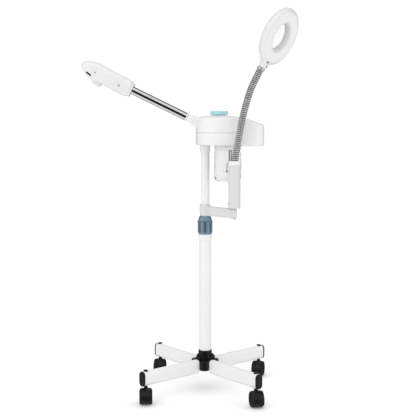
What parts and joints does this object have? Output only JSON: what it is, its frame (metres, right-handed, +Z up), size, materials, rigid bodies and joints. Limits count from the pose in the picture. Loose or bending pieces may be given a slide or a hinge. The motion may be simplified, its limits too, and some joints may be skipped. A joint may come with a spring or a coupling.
{
  "type": "facial steamer",
  "caption": "Rolling facial steamer with tilting steam arm, hanging glass water jar, height-adjustable column and a ring magnifying lamp on a gooseneck",
  "frame": {"origin": "on the floor, under the middle of the bounding box", "axes": "+Z up along the column; +X towards the lamp side; -Y towards the front"},
  "size_m": [0.6884, 0.4308, 1.2238],
  "materials": {
    "white_plastic": "smooth semi-gloss moulded",
    "white_paint": "powder coat, satin",
    "grey_paint": "powder coat, satin, slightly greyer",
    "black_plastic": "fine moulded grain",
    "caster_tread": "smooth hard nylon",
    "collar_blue": "satin slate blue moulding",
    "aqua_plastic": "satin pale aqua moulding",
    "chrome": "mirror chrome plate",
    "dark_steel": "satin steel",
    "gooseneck_metal": "ribbed satin metal",
    "clear_glass": "clear",
    "frosted_plastic": "frosted translucent"
  },
  "bodies": {
    "stand": {"base_hub": "black_plastic", "arm_tube_back_right": "white_paint", "arm_tube_back_left": "white_paint", "arm_tube_front_left": "white_paint", "arm_tube_front_right": "white_paint", "arm_end_cap_back_right": "black_plastic", "arm_end_cap_back_left": "black_plastic", "arm_end_cap_front_left": "black_plastic", "arm_end_cap_front_right": "black_plastic", "lower_tube": "white_paint", "tube_sleeve": "white_plastic"},
    "caster_back_right": {"caster_hood_back_right": "black_plastic"},
    "wheels_back_right": {"caster_wheels_back_right": "caster_tread"},
    "caster_back_left": {"caster_hood_back_left": "black_plastic"},
    "wheels_back_left": {"caster_wheels_back_left": "caster_tread"},
    "caster_front_left": {"caster_hood_front_left": "black_plastic"},
    "wheels_front_left": {"caster_wheels_front_left": "caster_tread"},
    "caster_front_right": {"caster_hood_front_right": "black_plastic"},
    "wheels_front_right": {"caster_wheels_front_right": "caster_tread"},
    "collar": {"height_collar": "collar_blue"},
    "slider": {"guide_bush": "black_plastic"},
    "head": {"upper_tube": "white_paint", "pole_socket": "white_plastic", "housing_top_shell": "white_plastic", "housing_base_shell": "white_plastic", "boiler_lid": "white_plastic", "heating_element": "dark_steel", "level_probe": "dark_steel", "ozone_lamp": "clear_glass", "filler_neck": "white_plastic", "power_inlet": "black_plastic", "elbow_pin": "white_plastic"},
    "bracket": {"bracket_arm": "grey_paint", "bracket_screw": "dark_steel", "mast_pivot_bolt": "dark_steel"},
    "mast": {"mast_tube": "grey_paint", "mast_top_cap": "white_plastic", "gooseneck_lower": "gooseneck_metal"},
    "neck_middle": {"gooseneck_middle": "gooseneck_metal"},
    "neck_upper": {"gooseneck_upper": "gooseneck_metal"},
    "lamp": {"lamp_ferrule": "gooseneck_metal", "lamp_rear_shell": "white_plastic", "lamp_front_shell": "white_plastic", "led_diffuser": "frosted_plastic", "magnifier_lens": "clear_glass", "lamp_neck_screw": "dark_steel"},
    "lamp_button": {"lamp_switch": "black_plastic"},
    "steam_rocker": {"steam_switch": "black_plastic"},
    "ozone_rocker": {"ozone_switch": "black_plastic"},
    "fill_cap": {"filler_cap": "aqua_plastic"},
    "jar": {"water_jar": "clear_glass", "jar_collar": "white_plastic"},
    "steam_arm": {"elbow_knuckle": "white_plastic", "steam_tube": "chrome"},
    "nozzle_stem": {"nozzle_stem": "white_plastic"},
    "nozzle": {"nozzle_front_shell": "white_plastic", "nozzle_rear_shell": "white_plastic", "nozzle_core": "black_plastic", "nozzle_spout": "frosted_plastic", "nozzle_pivot_screw": "white_plastic"}
  },
  "joints": [
    {"name": "caster_swivel_back_right", "type": "hinge", "parent": "stand", "child": "caster_back_right", "pos_m": [0.2368, 0.16701, 0.06], "axis": [0, 0, 1], "continuous": true},
    {"name": "wheel_roll_back_right", "type": "hinge", "parent": "caster_back_right", "child": "wheels_back_right", "pos_m": [0.23462, 0.15828, 0.024], "axis": [0.9703, -0.2419, 0], "continuous": true},
    {"name": "caster_swivel_back_left", "type": "hinge", "parent": "stand", "child": "caster_back_left", "pos_m": [-0.10575, 0.19457, 0.06], "axis": [0, 0, 1], "continuous": true},
    {"name": "wheel_roll_back_left", "type": "hinge", "parent": "caster_back_left", "child": "wheels_back_left", "pos_m": [-0.10669, 0.18562, 0.024], "axis": [0.9945, -0.1045, 0], "continuous": true},
    {"name": "caster_swivel_front_left", "type": "hinge", "parent": "stand", "child": "caster_front_left", "pos_m": [-0.13331, -0.14797, 0.06], "axis": [0, 0, 1], "continuous": true},
    {"name": "wheel_roll_front_left", "type": "hinge", "parent": "caster_front_left", "child": "wheels_front_left", "pos_m": [-0.13268, -0.15695, 0.024], "axis": [0.9976, 0.0698, 0], "continuous": true},
    {"name": "caster_swivel_front_right", "type": "hinge", "parent": "stand", "child": "caster_front_right", "pos_m": [0.20924, -0.17553, 0.06], "axis": [0, 0, 1], "continuous": true},
    {"name": "wheel_roll_front_right", "type": "hinge", "parent": "caster_front_right", "child": "wheels_front_right", "pos_m": [0.21111, -0.18434, 0.024], "axis": [0.9781, 0.2079, 0], "continuous": true},
    {"name": "collar_twist", "type": "hinge", "parent": "stand", "child": "collar", "pos_m": [0.05175, 0.00952, 0.514], "axis": [0, 0, 1], "range_deg": [0, 90]},
    {"name": "column_slide", "type": "slide", "parent": "stand", "child": "slider", "axis": [0, 0, 1], "range_m": [0, 0.2]},
    {"name": "column_turn", "type": "hinge", "parent": "slider", "child": "head", "pos_m": [0.05175, 0.00952, 0.6], "axis": [0, 0, 1], "continuous": true},
    {"name": "bracket_swing", "type": "hinge", "parent": "head", "child": "bracket", "pos_m": [0.05175, 0.00952, 0.59], "axis": [0, 0, 1], "range_deg": [-60, 0]},
    {"name": "mast_turn", "type": "hinge", "parent": "bracket", "child": "mast", "pos_m": [0.14375, -0.08548, 0.607], "axis": [0, 0, 1], "range_deg": [-150, 60]},
    {"name": "neck_bend_lower", "type": "hinge", "parent": "mast", "child": "neck_middle", "pos_m": [0.16291, -0.08548, 0.86219], "axis": [0, 1, 0], "range_deg": [-15, 15]},
    {"name": "neck_bend_upper", "type": "hinge", "parent": "neck_middle", "child": "neck_upper", "pos_m": [0.18838, -0.08548, 0.96194], "axis": [0.9451, 0, -0.3268], "range_deg": [-15, 15]},
    {"name": "neck_bend_top", "type": "hinge", "parent": "neck_upper", "child": "lamp", "pos_m": [0.21982, -0.08548, 1.03116], "axis": [0, 1, 0], "range_deg": [-15, 15]},
    {"name": "lamp_switch_press", "type": "slide", "parent": "lamp", "child": "lamp_button", "axis": [-0.7588, 0.5109, 0.404], "range_m": [0, 0.001], "stiffness_N_per_m": 300},
    {"name": "steam_switch_rock", "type": "hinge", "parent": "head", "child": "steam_rocker", "pos_m": [0.19975, 0.06052, 0.829], "axis": [0, 0, 1], "range_deg": [0, 14]},
    {"name": "ozone_switch_rock", "type": "hinge", "parent": "head", "child": "ozone_rocker", "pos_m": [0.19975, 0.06052, 0.815], "axis": [0, 0, 1], "range_deg": [0, 14]},
    {"name": "filler_cap_lift", "type": "slide", "parent": "head", "child": "fill_cap", "axis": [0, 0, 1], "range_m": [0, 0.03]},
    {"name": "jar_drop", "type": "slide", "parent": "head", "child": "jar", "axis": [0, 0, -1], "range_m": [0, 0.07]},
    {"name": "steam_arm_tilt", "type": "hinge", "parent": "head", "child": "steam_arm", "pos_m": [0.00875, 0.00952, 0.884], "axis": [0, 1, 0], "range_deg": [-20, 30]},
    {"name": "nozzle_roll", "type": "hinge", "parent": "steam_arm", "child": "nozzle_stem", "pos_m": [0.00875, 0.00952, 0.884], "axis": [-0.898, 0, 0.4399], "range_deg": [-90, 90]},
    {"name": "nozzle_tilt", "type": "hinge", "parent": "nozzle_stem", "child": "nozzle", "pos_m": [-0.22125, 0.00952, 0.991], "axis": [0, 1, 0], "range_deg": [-8, 8]}
  ]
}
